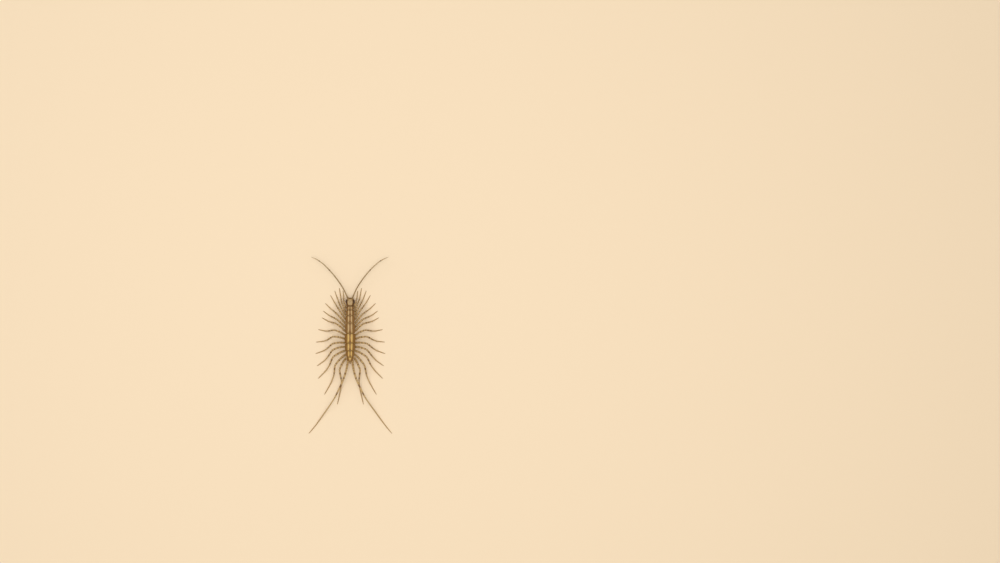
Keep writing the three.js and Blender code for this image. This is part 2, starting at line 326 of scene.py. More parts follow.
def flankFinish(look):
    material, graph, place, blotch, grain = startFinish("softFlank", look)
    plate = graph.named("plate")
    colour = graph.mix(plate, look["pale"], look["belly"])
    veins = graph.veins(place, look["veins"]) * (0.3 - 0.2 * plate)
    colour = graph.mix(veins, colour, look["brown"])
    dark = (graph.named("dark") + (blotch - 0.5) * 0.5 + (grain - 0.5) * 0.4).soft(0.3, 0.85)
    colour = graph.mix(dark * 0.85, colour, look["brown"])
    roughness = look["roughness"] + grain * look["roughnessSpread"]
    return endFinish(material, graph, colour, roughness, grain * 0.7 + blotch * 0.3, look)


limbLook = {
    "tan": (0.46, 0.29, 0.11),
    "straw": (0.59, 0.40, 0.175),
    "band": (0.17, 0.08, 0.02),
    "tip": (0.37, 0.23, 0.093),
    "bristle": (0.035, 0.018, 0.01),
    "blotch": 0.6,
    "grain": 0.1,
    "roughness": 0.42,
    "roughnessSpread": 0.24,
    "bump": 0.4,
    "bumpHeight": 0.02,
    "coat": 0.04,
    "coatRoughness": 0.3,
    "shine": 0.35,
}
feelerLook = limbLook | {
    "tan": (0.30, 0.19, 0.075),
    "straw": (0.40, 0.265, 0.115),
    "tip": (0.52, 0.36, 0.18),
    "band": (0.13, 0.062, 0.018),
}
jawLook = limbLook | {
    "tan": (0.30, 0.155, 0.05),
    "straw": (0.37, 0.215, 0.08),
    "tip": (0.03, 0.01, 0.004),
    "band": (0.10, 0.04, 0.013),
    "coat": 0.45,
    "coatRoughness": 0.14,
}


def limbFinish(name, look):
    material, graph, _, blotch, grain = startFinish(name, look)
    colour = graph.mix((blotch - 0.25) * 1.3, look["tan"], look["straw"])
    colour = graph.mix(graph.named("tone"), colour, look["tip"])
    dark = (graph.named("dark") + graph.named("keel") * 0.3 + (blotch - 0.5) * 0.3).soft(0.15, 0.7)
    colour = graph.mix(dark * 0.95, colour, look["band"])
    roughness = look["roughness"] + grain * look["roughnessSpread"]
    return endFinish(material, graph, colour, roughness, grain, look)


eyeLook = {
    "deep": (0.05, 0.022, 0.008),
    "glint": (0.12, 0.055, 0.018),
    "blotch": 0.5,
    "grain": 0.09,
    "grainDetail": 2.0,
    "roughness": 0.16,
    "roughnessSpread": 0.14,
    "bump": 0.2,
    "bumpHeight": 0.01,
    "coat": 0.1,
    "coatRoughness": 0.15,
    "shine": 0.25,
}


def eyeFinish(look):
    material, graph, _, blotch, grain = startFinish("facetedEye", look)
    colour = graph.mix((blotch - 0.3) * 1.4, look["deep"], look["glint"])
    roughness = look["roughness"] + grain * look["roughnessSpread"]
    return endFinish(material, graph, colour, roughness, grain, look)


finishes = {
    "plates": platesFinish(shellLook),
    "head": headFinish(headLook),
    "flank": flankFinish(flankLook),
    "limb": limbFinish("bandedLimb", limbLook),
    "feeler": limbFinish("feelerSkin", feelerLook),
    "jaw": limbFinish("hornyJaw", jawLook),
    "eye": eyeFinish(eyeLook),
}
print("finishes mixed")


# Growing trees
def plantTree(name, sizes):
    tree = bpy.data.node_groups.new(name, "GeometryNodeTree")
    tree.interface.new_socket("Geometry", in_out="OUTPUT", socket_type="NodeSocketGeometry")
    tree.interface.new_socket("Geometry", in_out="INPUT", socket_type="NodeSocketGeometry")
    tree.interface.new_socket("Finish", in_out="INPUT", socket_type="NodeSocketMaterial")
    for label, kind in sizes.items():
        tree.interface.new_socket(label, in_out="INPUT", socket_type=f"NodeSocket{kind}")
    graph = Graph(tree)
    start = tree.nodes.new("NodeGroupInput")
    return graph, {s.name: Wire(graph, s) for s in start.outputs if s.name}


def closeTree(graph, geometry, finish):
    geometry = graph.add("GeometryNodeRealizeInstances", {}, {"Geometry": geometry})
    geometry = graph.add("GeometryNodeSetMaterial", {}, {"Geometry": geometry, "Material": finish})
    graph.add("NodeGroupOutput", {}, {"Geometry": geometry})
    return graph.tree


bristleShape = {
    "tip": 0.08,  # share of the root's radius
    "growth": (0.65, 1.15),  # the shortest and the longest, as shares of the length
    "spread": 0.25,  # how far a bristle turns aside at random, and how far a spur does
    "spurSpread": 0.12,
    "uprightOnLimb": 0.6,  # how upright they stand, against their lean
    "uprightOnShell": 0.75,
    "spurOnLimb": 1.5,  # a spur's width, in widths of a bristle
    "spurOnShell": 1.7,
    "rowTwist": 1.37,  # how the rows of spines wind round a limb
}


def bristles(graph, points, selection, lie, width, length, seed, spread="spread"):
    # cones of three sides stood on points, leaning the way lie points
    b, spread = bristleShape, bristleShape[spread]
    cone = {"Vertices": 3, "Side Segments": 1, "Radius Top": b["tip"], "Radius Bottom": 1.0, "Depth": 1.0}
    cone = graph.add("GeometryNodeMeshCone", {"fill_type": "NGON"}, cone)
    cone = graph.store(cone, "horn", 1.0)
    jitter = {"Min": (-spread,) * 3, "Max": (spread,) * 3, "Seed": seed}
    jitter = graph.add("FunctionNodeRandomValue", {"data_type": "FLOAT_VECTOR"}, jitter)
    growth = {"Min": b["growth"][0], "Max": b["growth"][1], "Seed": seed}
    growth = graph.add("FunctionNodeRandomValue", {"data_type": "FLOAT"}, growth)
    turned = {"Vector": lie.plus(jitter)}
    turned = graph.add("FunctionNodeAlignRotationToVector", {"axis": "Z"}, turned)
    scale = graph.add("ShaderNodeCombineXYZ", {}, {"X": width, "Y": width, "Z": length * growth})
    sockets = {"Points": points, "Instance": cone, "Rotation": turned, "Scale": scale}
    if selection is not None:
        sockets["Selection"] = selection
    return graph.add("GeometryNodeInstanceOnPoints", {}, sockets)


def limbTree():
    # a jointed limb: a tube along a path, with ridges, rings, rows of spines and spurs at the joints
    b = bristleShape
    counts = ("Sides", "Ridge step", "Spine step", "Seed")
    lengths = ("Ridge depth", "Ring pitch", "Ring depth", "Spine length", "Spine width")
    kinds = dict.fromkeys(counts, "Int") | dict.fromkeys(lengths, "Float")
    graph, size = plantTree("jointedLimb", kinds)
    index = graph.add("GeometryNodeInputIndex")
    position = graph.add("GeometryNodeInputPosition")
    normal = graph.add("GeometryNodeInputNormal")
    curve = graph.add("GeometryNodeMeshToCurve", {}, {"Mesh": size["Geometry"]})
    curve = graph.add("GeometryNodeSetCurveNormal", {"mode": "Z_UP"}, {"Curve": curve})
    curve = graph.store(curve, "lie", graph.add("GeometryNodeInputTangent"), "FLOAT_VECTOR")
    curve = graph.store(curve, "row", index)
    section = {"Resolution": size["Sides"], "Radius": 1.0}
    section = graph.add("GeometryNodeCurvePrimitiveCircle", {}, section)
    section = graph.store(section, "turn", position, "FLOAT_VECTOR")
    section = graph.store(section, "facet", index)
    section = graph.store(section, "around", index / size["Sides"])
    radius, ridged = graph.read("radius"), graph.read("ridged")
    tube = {"Curve": curve, "Profile Curve": section, "Scale": radius, "Fill Caps": True}
    tube = graph.add("GeometryNodeCurveToMesh", {}, tube)
    turn = graph.read("turn", "FLOAT_VECTOR")
    angle = turn.part("Y").maths("ARCTAN2", turn.part("X"))
    ridges = size["Sides"] / size["Ridge step"]
    ridge = ((angle * ridges).maths("COSINE") * 0.5 + 0.5) ** 3.0 * ridged
    phase = (graph.read("along") / size["Ring pitch"]).maths("FRACT")
    lift = size["Ridge depth"] * (ridge - 0.3 * ridged)
    lift = lift + size["Ring depth"] * graph.read("ringed") * (phase - 0.5)
    tube = {"Geometry": graph.store(tube, "keel", ridge), "Offset": normal.scaled(lift * radius)}
    tube = graph.add("GeometryNodeSetPosition", {}, tube)
    tube = graph.add("GeometryNodeSetShadeSmooth", {}, {"Geometry": tube})

    row, facet, spiny, spur = (graph.read(name) for name in ("row", "facet", "spiny", "spur"))
    # no spine stands where it would reach into the floor
    offFloor = (position.part("Z") + 0.3 * mm * normal.part("Z")) > 0.1 * mm
    onRidge = (facet.maths("MODULO", size["Ridge step"]) < 0.5) * offFloor
    turnOfRow = (row + facet * b["rowTwist"]).maths("FLOOR").maths("MODULO", size["Spine step"]) < 0.5
    onRow = onRidge * turnOfRow * (spiny > 0.01)
    lie = normal.scaled(b["uprightOnLimb"]).plus(graph.read("lie", "FLOAT_VECTOR"))
    width, length = size["Spine width"] * (0.4 + 0.6 * spiny), size["Spine length"] * spiny
    spines = bristles(graph, tube, onRow, lie, width, length, size["Seed"])
    atJoint, width = onRidge * (spur > 0.00001), size["Spine width"] * b["spurOnLimb"]
    spurs = bristles(graph, tube, atJoint, lie, width, spur, size["Seed"], "spurSpread")
    limb = graph.add("GeometryNodeJoinGeometry", {}, {"Geometry": [tube, spines, spurs]})
    return closeTree(graph, limb, size["Finish"])


def hairTree():
    # a mesh with short bristles scattered where its hair number is above 0, and a spur at each point
    # that has a spur number, which is its length
    kinds = dict.fromkeys(("Density", "Length", "Width"), "Float") | {"Lean": "Vector", "Seed": "Int"}
    graph, size = plantTree("hairyShell", kinds)
    shell, width, seed = size["Geometry"], size["Width"], size["Seed"]
    upright, stout = bristleShape["uprightOnShell"], bristleShape["spurOnShell"]
    roots = {"Mesh": shell, "Density": size["Density"] * graph.read("hair"), "Seed": seed}
    scatter = {"distribute_method": "RANDOM"}
    roots = graph.add("GeometryNodeDistributePointsOnFaces", scatter, roots)
    lie = roots.out("Normal").scaled(upright).plus(size["Lean"])
    hairs = bristles(graph, roots, None, lie, width, size["Length"], seed)
    spur = graph.read("spur")
    lie = graph.add("GeometryNodeInputNormal").scaled(upright).plus(size["Lean"])
    spurs = bristles(graph, shell, spur > 0.00001, lie, width * stout, spur, seed, "spurSpread")
    whole = graph.add("GeometryNodeJoinGeometry", {}, {"Geometry": [shell, hairs, spurs]})
    return closeTree(graph, whole, size["Finish"])


def eyeTree():
    # a ball of six-sided facets, each a low blunt lens
    kinds = {"Centre": "Vector", "Size": "Vector", "Fineness": "Int"}
    graph, size = plantTree("compoundEye", kinds | {"Lens height": "Float", "Lens top": "Float"})
    ball = {"Radius": 1.0, "Subdivisions": size["Fineness"]}
    ball = graph.add("GeometryNodeMeshIcoSphere", {}, ball)
    cells = graph.add("GeometryNodeDualMesh", {}, {"Mesh": ball})
    lenses = {"Mesh": cells, "Offset Scale": size["Lens height"]}
    lenses = graph.add("GeometryNodeExtrudeMesh", {"mode": "FACES"}, lenses)
    tops = {"Geometry": lenses, "Selection": lenses.out("Top"), "Scale": size["Lens top"]}
    lenses = graph.add("GeometryNodeScaleElements", {"domain": "FACE"}, tops)
    spot = graph.add("GeometryNodeInputPosition").times(size["Size"]).plus(size["Centre"])
    lenses = graph.add("GeometryNodeSetPosition", {}, {"Geometry": lenses, "Position": spot})
    lenses = graph.add("GeometryNodeSetShadeSmooth", {}, {"Geometry": lenses})
    return closeTree(graph, lenses, size["Finish"])


trees = {"limb": limbTree(), "hair": hairTree(), "eye": eyeTree()}
print("growing trees planted")


# Meshes
def meshOf(name, points, faces, numbers=None, edges=()):
    mesh = bpy.data.meshes.new(name)
    mesh.from_pydata((np.asarray(points) * mm).tolist(), list(edges), [list(map(int, f)) for f in faces])
    for label, values in (numbers or {}).items():
        attribute = mesh.attributes.new(label, "FLOAT", "POINT")
        attribute.data.foreach_set("value", np.asarray(values, dtype=np.float32).ravel())
    mesh.update()
    return mesh


bakeMap = {"name": "OFBake", "margin": 0.02, "fill": 0.9, "patch": 0.003}


def layMap(mesh, columns):
    # a map for the bristly pieces: the skin unrolled into columns side by side, and at its root a small
    # patch for each bristle
    def read(label):
        values = np.zeros(len(mesh.vertices), dtype=np.float32)
        mesh.attributes[label].data.foreach_get("value", values)
        return values

    around, strip, horn = read("around"), read("strip"), read("horn")
    corners = np.zeros(len(mesh.loops), dtype=np.int32)
    starts, totals = np.zeros((2, len(mesh.polygons)), dtype=np.int32)
    mesh.loops.foreach_get("vertex_index", corners)
    mesh.polygons.foreach_get("loop_start", starts)
    mesh.polygons.foreach_get("loop_total", totals)
    u, v = around[corners], strip[corners]
    overSeam = np.maximum.reduceat(u, starts) - np.minimum.reduceat(u, starts) > 0.5
    u = u + (np.repeat(overSeam, totals) & (u < 0.5))
    column = np.floor(np.minimum.reduceat(v, starts) * columns).clip(0, columns - 1)
    column = np.repeat(column, totals)
    margin, fill = bakeMap["margin"], bakeMap["fill"]
    along = margin + fill * (v * columns - column)
    places = np.stack([(column + margin + fill * u) / columns, along], axis=1)
    corner = np.arange(len(corners)) - np.repeat(starts, totals)
    patch = np.array([(0, 0), (1, 0), (1, 1), (0, 1)])[corner % 4] * bakeMap["patch"]
    places += patch * (horn[corners] > 0.5)[:, None]
    layer = mesh.uv_layers.new(name=bakeMap["name"])
    layer.uv.foreach_set("vector", places.astype(np.float32).ravel())


def grow(name, mesh, tree, values, finish, columns=0):
    # runs a tree on a mesh and keeps the result as a plain mesh, with a map of so many columns
    piece = bpy.data.objects.new(name, mesh)
    bpy.context.scene.collection.objects.link(piece)
    modifier = piece.modifiers.new("grow", "NODES")
    modifier.node_group = tree
    given = values | {"Finish": finish}
    for item in tree.interface.items_tree:
        if item.item_type == "SOCKET" and item.in_out == "INPUT" and item.name in given:
            modifier[item.identifier] = given[item.name]
    depsgraph = bpy.context.evaluated_depsgraph_get()
    grown = bpy.data.meshes.new_from_object(
        piece.evaluated_get(depsgraph), preserve_all_data_layers=True, depsgraph=depsgraph
    )
    piece.modifiers.remove(modifier)
    piece.data = grown
    bpy.data.meshes.remove(mesh)
    grown.name = name
    if columns:
        layMap(grown, columns)
    return piece


def settle(piece, slot, *nodes):
    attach(piece, "root")
    if nodes:
        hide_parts(*nodes)
    print(f"  {piece.name}: {len(piece.data.polygons)} faces")
    return piece


def growHair(name, skin, hair, finish, columns, step=0):
    # a smooth skin, of points, faces and the numbers it carries, with hair on it
    mesh = meshOf(name, *skin)
    mesh.shade_smooth()
    sizes = {
        "Density": hair["density"] / mm**2,
        "Length": hair["length"] * mm,
        "Width": hair["width"] * mm,
        "Lean": hair["lean"],
        "Seed": hair["seed"] + step,
    }
    return grow(name, mesh, trees["hair"], sizes, finishes[finish], columns)


def ringFaces(rings, count):
    # quads between closed rings of count points each, and a face over both ends
    start = np.arange(rings - 1)[:, None] * count
    k = np.arange(count)
    a, b = start + k, start + (k + 1) % count
    quads = np.stack([a, b, b + count, a + count], axis=-1).reshape(-1, 4)
    return [*quads, k[::-1], k + (rings - 1) * count]


def section(count, squareness=1.0):
    # across and up of a ring of points: a circle at 1, and more of a box below
    angle = 2 * math.pi * np.arange(count) / count
    return [np.sign(v) * np.abs(v) ** squareness for v in (np.cos(angle), np.sin(angle))]


def unrolled(rings, count):
    # where each point of a grid of closed rings lies on its unrolled skin
    ring, k = np.mgrid[0:rings, 0:count]
    return {"around": k / count, "strip": ring / (rings - 1)}


def bell(distance, width):
    return np.exp(-((np.asarray(distance) / width) ** 2))


def smoothStep(value, low, high):
    t = np.clip((np.asarray(value) - low) / (high - low), 0, 1)
    return t * t * (3 - 2 * t)


def alongStations(stations, place):
    places, values = zip(*stations)
    return np.interp(place, places, values)


def gridNormals(grid):
    # unit normals of a grid of rings, each ring closed
    ahead = np.gradient(grid, axis=0)
    around = np.roll(grid, -1, axis=1) - np.roll(grid, 1, axis=1)
    normal = np.cross(around, ahead)
    return normal / np.maximum(np.linalg.norm(normal, axis=-1, keepdims=True), 1e-9)


def splinePoints(points, places, tension):
    # the path that the solids follow: a Catmull-Rom curve through the points with this tension
    points = np.asarray(points, dtype=float)
    padded = np.vstack([2 * points[0] - points[1], points, 2 * points[-1] - points[-2]])
    k = np.minimum(np.floor(places).astype(int), len(points) - 2)
    t = (places - k)[:, None]
    before, here, there, after = (padded[k + n] for n in range(4))
    startPull, endPull = tension * (there - before), tension * (after - here)
    return (
        (2 * t**3 - 3 * t**2 + 1) * here
        + (t**3 - 2 * t**2 + t) * startPull
        + (3 * t**2 - 2 * t**3) * there
        + (t**3 - t**2) * endPull
    )


class Strand:
    # a smooth path that can be read by the distance run along it, with fine steps from point to point
    def __init__(self, points, tension, fine=90):
        self.places = np.linspace(0, len(points) - 1, fine * (len(points) - 1) + 1)
        self.dense = splinePoints(points, self.places, tension)
        steps = np.linalg.norm(np.diff(self.dense, axis=0), axis=1)
        self.run = np.concatenate([[0], np.cumsum(steps)])

    def runAt(self, place):
        return np.interp(place, self.places, self.run)

    def placeAt(self, run):
        return np.interp(run, self.run, self.places)

    def pointsAt(self, run):
        return np.stack([np.interp(run, self.run, self.dense[:, axis]) for axis in range(3)], axis=1)


def sampleRuns(joints, end, shape, others=()):
    # the distances at which a limb is sampled: evenly up to its last joint, closer round each joint,
    # and from there on four times to each ring, the last time at its raised edge
    start, pitch = joints[-1], shape["ringPitch"]
    count = int((end - shape["ringGap"] - start) / pitch)
    rings = start + pitch * np.add.outer(np.arange(count), [0.02, 0.35, 0.7, 0.93])
    evenly = np.arange(0, start, shape["runStep"])
    roundJoints = np.add.outer(joints, shape["jointRuns"])
    run = np.concatenate([np.ravel(part) for part in (evenly, roundJoints, rings, others, end)])
    run = np.unique(np.round(run[(run >= 0) & (run <= end)], 3))
    return run[np.concatenate([[True], np.diff(run) > 0.02])]


def ringMarks(run, start, pitch):
    # where the ringed part is, where the rings' raised edges are, and the length along the rings
    ringed = run > start + 0.1
    edge = ringed & (np.mod((run - start) / pitch, 1) > 0.85)
    return ringed, edge, (run - start + 100 * pitch) * mm


def toNearest(run, marks):
    return np.abs(np.subtract.outer(run, marks)).min(axis=1)  # distance to the nearest mark


def growLimb(name, strand, run, numbers, shape, seed, finish, columns):
    # a limb of this shape along a strand; a number that is left out is 0 all along
    numbers = dict.fromkeys(("ringed", "ridged", "spur"), np.zeros_like(run)) | numbers
    numbers["strip"] = np.linspace(0, 1, len(run))
    points = strand.pointsAt(run)
    points[:, 2] = np.maximum(points[:, 2], 1.1 * numbers["radius"] / mm)  # clear of the floor
    edges = [(k, k + 1) for k in range(len(run) - 1)]
    mesh = meshOf(name, points, [], numbers, edges)
    sizes = {
        "Sides": shape["sides"],
        "Ridge step": shape["ridgeStep"],
        "Ridge depth": shape["ridgeDepth"],
        "Ring pitch": shape["ringPitch"] * mm,
        "Ring depth": shape["ringDepth"],
        "Spine length": shape["spineLength"] * mm,
        "Spine width": shape["spineWidth"] * mm,
        "Spine step": shape["spineStep"],
        "Seed": seed,
    }
    return grow(name, mesh, trees["limb"], sizes, finishes[finish], columns)


# Legs. Lengths are in millimetres, and a path's place counts its points: 1 is at its second point
trunkHalfWidth = [  # place along the body, half width
    (-8.9, 1.75),
    (-6.5, 1.8),
    (-2.5, 2.0),
    (2.5, 2.2),
    (8, 2.15),
    (15, 1.95),
    (20, 1.75),
    (22, 1.45),
]
hips = {
    "first": 20.9,  # the front pair's place along the body, and the step to the next
    "pitch": 2.14,
    "height": 3.45,
    "inset": 0.5,
    "lastX": 1.27,
    "lastY": -8.4,
    "lastRise": 0.35,
}
legShape = {
    "kneeHeights": (7.0, 1.8),  # the first pair's, and how much higher the last but one gets
    "ankleHeights": (2.9, 0.6),
    "lastKnee": 8.2,
    "lastAnkle": 6.2,
    "ankleAfterKnee": 0.19,  # shares of the reach
    "lastAnkleAfterKnee": 0.22,
    "touchDown": 0.86,
    "coxaReach": 1.6,
    "coxaRise": 0.2,
    "coxaTurns": (-0.65, -23),  # a share of the sweep, and the last pair's in degrees
    "thighHeight": 0.86,  # share of the knee's height
    "shinHeight": 0.33,  # share of the ankle's height
    "footRadius": 0.27,
    "tipRadius": 0.13,
    "flatFoot": math.cos(math.pi / 6),
    "tension": 0.3,
    "sides": 24,
    "ridgeStep": 4,
    "ridgeDepth": 0.22,
    "ringPitch": 0.3,
    "ringGap": 0.4,  # between the last ring and the tip
    "ringDepth": 0.19,
    "spineLength": 0.2,
    "spineWidth": 0.022,
    "spineStep": 3,
    "spurs": (0.35, 0.5, 0.6),
    "rootDome": 0.45,  # the coxa's rounded inner end
    "clawLength": 0.34,
    "stoutness": [(0, 0.84), (9, 1.0), (14, 1.08)],
    "bands": (0, 0.42, 0.62, 0.85),  # how dark the two bands of each length are
    # radius at the start, the fullest part and the end of each length between two joints
    "coxa": (0.6, 0.62, 0.54),
    "prefemur": (0.5, 0.58, 0.5),
    "femur": (0.47, 0.53, 0.43),
    "tibia": (0.41, 0.45, 0.35),
    "foot": [(4, 0.31), (5, 0.3), (6, 0.27), (6.5, 0.24), (7, 0.12)],
    # where the path is sampled: its step, after its start, round each joint and before its end
    "runStep": 0.14,
    "rootRuns": (0.02, 0.06, 0.12, 0.2),
    "jointRuns": (-0.3, -0.22, -0.15, -0.1, -0.05, 0, 0.05, 0.1, 0.18),
    "tipRuns": (0.36, 0.3, 0.2, 0.1, 0.04),
}
# reach, sweep, knee, knee lead and ankle lead of each pair, front pair first
legPairs = [
    (10.6, 73, 0.38, -17, -8),
    (14.7, 70, 0.38, -13, -8),
    (16.2, 62, 0.4, -9, -5),
    (17.1, 54.6, 0.42, -5, -3),
    (17.2, 41.9, 0.44, 1, 0),
    (16.8, 33.6, 0.46, 4, 0),
    (16.4, 27.5, 0.46, 7, 1),
    (16.9, 10.1, 0.45, 11, 1.5),
    (18, -6.5, 0.44, 15, 3),
    (19.3, -19.6, 0.42, 15, 3),
    (20.7, -33, 0.4, 19, 5.5),
    (23.5, -44, 0.38, 18, 4),
    (26.8, -60, 0.35, 17, 3),
    (27.4, -77, 0.3, 20, 3),
    (47.3, -61.8, 0.25, -15, -9),
]
lastPair = len(legPairs) - 1


def legPath(pair, side):
    reach, sweep, knee, kneeLead, ankleLead = legPairs[pair]
    s, h, share = legShape, hips, pair / lastPair
    if pair == lastPair:
        hipX, hipY, hipZ = h["lastX"], h["lastY"], h["height"] + h["lastRise"]
        kneeHeight, ankleHeight = s["lastKnee"], s["lastAnkle"]
        ankle = knee + s["lastAnkleAfterKnee"]
        coxaLead, thighLead = s["coxaTurns"][1], kneeLead * 1.3
    else:
        hipY, hipZ = h["first"] - pair * h["pitch"], h["height"]
        hipX = alongStations(trunkHalfWidth, hipY) - h["inset"]
        kneeHeight = s["kneeHeights"][0] + s["kneeHeights"][1] * share
        ankleHeight = s["ankleHeights"][0] + s["ankleHeights"][1] * share
        ankle = knee + s["ankleAfterKnee"]
        coxaLead, thighLead = s["coxaTurns"][0] * sweep, kneeLead * 1.17 - sweep * 0.1
    down = s["touchDown"]
    joints = [  # distance from the hip, turn from the sweep, height
        (0, 0, hipZ),
        (s["coxaReach"], coxaLead, hipZ + s["coxaRise"]),
        (reach * knee * 0.5, thighLead, kneeHeight * s["thighHeight"]),
        (reach * knee, kneeLead, kneeHeight),
        (reach * ankle, ankleLead, ankleHeight),
        (reach * (ankle + down) / 2, ankleLead * 0.4 - 1, ankleHeight * s["shinHeight"]),
        (reach * down, ankleLead * 0.15 - 0.5, s["footRadius"] * s["flatFoot"]),
        (reach, 0, s["tipRadius"] * s["flatFoot"]),
    ]
    path = []
    for distance, lead, height in joints:
        turn = math.radians(sweep + lead)
        x, y = hipX + distance * math.cos(turn), hipY + distance * math.sin(turn)
        path.append((side * x, y, height))
    return path


def makeLeg(pair, word, side):
    s = legShape
    strand = Strand(legPath(pair, side), s["tension"])
    starts = strand.runAt(range(5))
    joints, ankle, end = starts[1:], starts[-1], strand.run[-1]
    run = sampleRuns(joints, end, s, [*s["rootRuns"], *(end - np.array(s["tipRuns"]))])
    place = strand.placeAt(run)
    radius = alongStations(s["foot"], place)
    dark, ridged, spur = np.zeros((3, len(run)))
    for k, part in enumerate(("coxa", "prefemur", "femur", "tibia")):
        inside = (run >= starts[k]) & (run < starts[k + 1])
        t = (run[inside] - starts[k]) / (starts[k + 1] - starts[k])
        radius[inside] = np.interp(t, [0, 0.3, 1], s[part])
        if k:
            ridged[inside] = smoothStep(t, 0.02, 0.15) * smoothStep(t, 1.0, 0.88)
            dark[inside] = s["bands"][k] * (bell(t - 0.3, 0.09) + bell(t - 0.76, 0.08))
    nearest = toNearest(run, joints)
    collar = 0.035 * bell(toNearest(run, joints - 0.17), 0.07)
    radius = radius * (1 - 0.24 * bell(nearest, 0.07)) + collar
    dark = np.maximum(dark, 0.75 * bell(nearest, 0.14))
    radius *= alongStations(s["stoutness"], pair)
    radius *= np.sqrt(np.clip(1 - (1 - (run + 0.01) / s["rootDome"]).clip(0, 1) ** 2, 0.01, 1))
    claw = smoothStep(end - run, s["clawLength"], s["clawLength"] - 0.06)
    radius *= 1 - 0.35 * claw - 0.6 * smoothStep(end - run, s["clawLength"] * 0.8, 0.0)

    onFoot, edge, along = ringMarks(run, ankle, s["ringPitch"])
    spiny = np.where(onFoot, 0.5 * edge, 0.9 * ridged + 0.25 * (place < 1))
    for joint, length in zip(joints[1:], s["spurs"]):
        spur[np.argmin(np.abs(run - (joint - 0.15)))] = length * mm
    numbers = {
        "radius": radius * mm,
        "along": along,
        "ringed": onFoot * smoothStep(end - run, 0.3, 0.5),
        "ridged": ridged,
        "spiny": spiny * smoothStep(run, 0.9, 1.4),
        "spur": spur,
        "dark": np.maximum.reduce([dark, 0.6 * edge, claw]),
        "tone": 0.75 * smoothStep(place, 4.0, 6.5),
    }
    seed = pair * 2 + (side > 0)
    piece = growLimb(f"leg{pair + 1}{word}", strand, run, numbers, s, seed, "limb", 4)
    node = f"leg_{pair + 1}_{word.lower()}"
    settle(piece, "limb", node, *([f"{node}_foot"] if pair == lastPair else []))


for pair in range(len(legPairs)):
    for word, side in sides.items():
        makeLeg(pair, word, side)
print("legs grown")


# Feelers
feelerShape = {
    "path": [
        (1.05, 25.6, 4.5),
        (1.4, 26.9, 5.2),
        (2.05, 28.4, 5.8),
        (3.95, 32.4, 7.1),
        (7.4, 37.6, 8.5),
        (11.5, 42.5, 9.3),
        (15.2, 46.1, 9.3),
        (18.5, 48.4, 8.6),
        (21.6, 49.8, 7.5),
    ],
    "baseRadius": [(0, 0.48), (0.6, 0.47), (1.1, 0.45), (1.8, 0.4), (1.95, 0.34)],
    "whipRadius": [(3, 0.34), (4, 0.32), (5, 0.3), (6, 0.28), (7, 0.25), (7.5, 0.2), (8, 0.1)],
    "joints": (0.95, 1.4, 1.88),  # places of the joints between the stout base pieces
    "nodes": (5.0, 6.6),  # the two slightly swollen places along the whip
    "runStep": 0.09,
    "jointRuns": (-0.15, -0.1, -0.05, 0, 0.05, 0.1, 0.15),
    "tension": 0.5,
    "sides": 12,
    "ridgeStep": 2,
    "ridgeDepth": 0.0,
    "ringPitch": 0.21,
    "ringGap": 0.05,
    "ringDepth": 0.2,
    "spineLength": 0.13,
    "spineWidth": 0.012,
    "spineStep": 1,
    "seed": 40,
}


def makeFeeler(word, side):
    f = feelerShape
    strand = Strand([(side * x, y, z) for x, y, z in f["path"]], f["tension"])
    joints, end = strand.runAt(f["joints"]), strand.run[-1]
    run = sampleRuns(joints, end, f)
    place = strand.placeAt(run)
    radius = alongStations(f["baseRadius"] + f["whipRadius"], place)
    nearest = toNearest(run, joints)
    swelling = bell(toNearest(run, strand.runAt(f["nodes"])), 0.5)
    radius = radius * (1 - 0.28 * bell(nearest, 0.07)) * (1 + 0.1 * swelling)
    onWhip, edge, along = ringMarks(run, joints[-1], f["ringPitch"])
    numbers = {
        "radius": radius * mm,
        "along": along,
        "ringed": onWhip * smoothStep(end - run, 0.0, 0.3),
        "spiny": np.where(onWhip, 1.0 * edge, 0.8 * (run > 1.6)),
        "dark": np.maximum.reduce([0.8 * bell(nearest, 0.12), 0.7 * swelling, 0.5 * edge]),
        "tone": smoothStep(place, 3, 8),
    }
    seed = f["seed"] + (side > 0)
    piece = growLimb(f"feeler{word}", strand, run, numbers, f, seed, "feeler", 5)
    settle(piece, "feeler", *(f"feeler_{part}_{word.lower()}" for part in ("base", "shaft", "whip")))


for word, side in sides.items():
    makeFeeler(word, side)
print("feelers grown")


# Palps and venom claws: short jointed limbs under the head
mouthLimb = {
    "runStep": 0.06,
    "tension": 0.5,
    "sides": 18,
    "ridgeStep": 3,
    "ridgeDepth": 0.0,
    "ringPitch": 1.0,
    "ringDepth": 0.0,
    "spineWidth": 0.018,
    "spineStep": 4,
}
palpShape = mouthLimb | {
    "path": [
        (1.2, 24.3, 3.2),
        (1.5, 24.9, 2.5),
        (1.75, 25.9, 2.35),
        (1.35, 26.7, 2.2),
        (0.85, 27.0, 2.0),
    ],
    "radius": [(0, 0.3), (1, 0.3), (2, 0.27), (3, 0.24), (3.9, 0.15), (4, 0.04)],
    "joints": (0.8, 1.8, 2.9),
    "spineLength": 0.26,
    "tone": 0.3,
    "seed": 50,
}
clawShape = mouthLimb | {
    "path": [
        (0.75, 21.0, 3.2),
        (1.1, 21.7, 1.85),
        (1.8, 22.8, 1.55),
        (1.95, 24.1, 1.5),
        (1.5, 25.2, 1.45),
        (0.55, 25.6, 1.4),
    ],
    "radius": [(0, 0.5), (1, 0.53), (1.9, 0.48), (2.1, 0.4), (3, 0.38), (4, 0.27), (4.5, 0.17), (5, 0.03)],
    "joints": (2.0, 2.9, 3.4),
    "spineLength": 0.22,
    "tone": 1.0,
    "seed": 60,
}


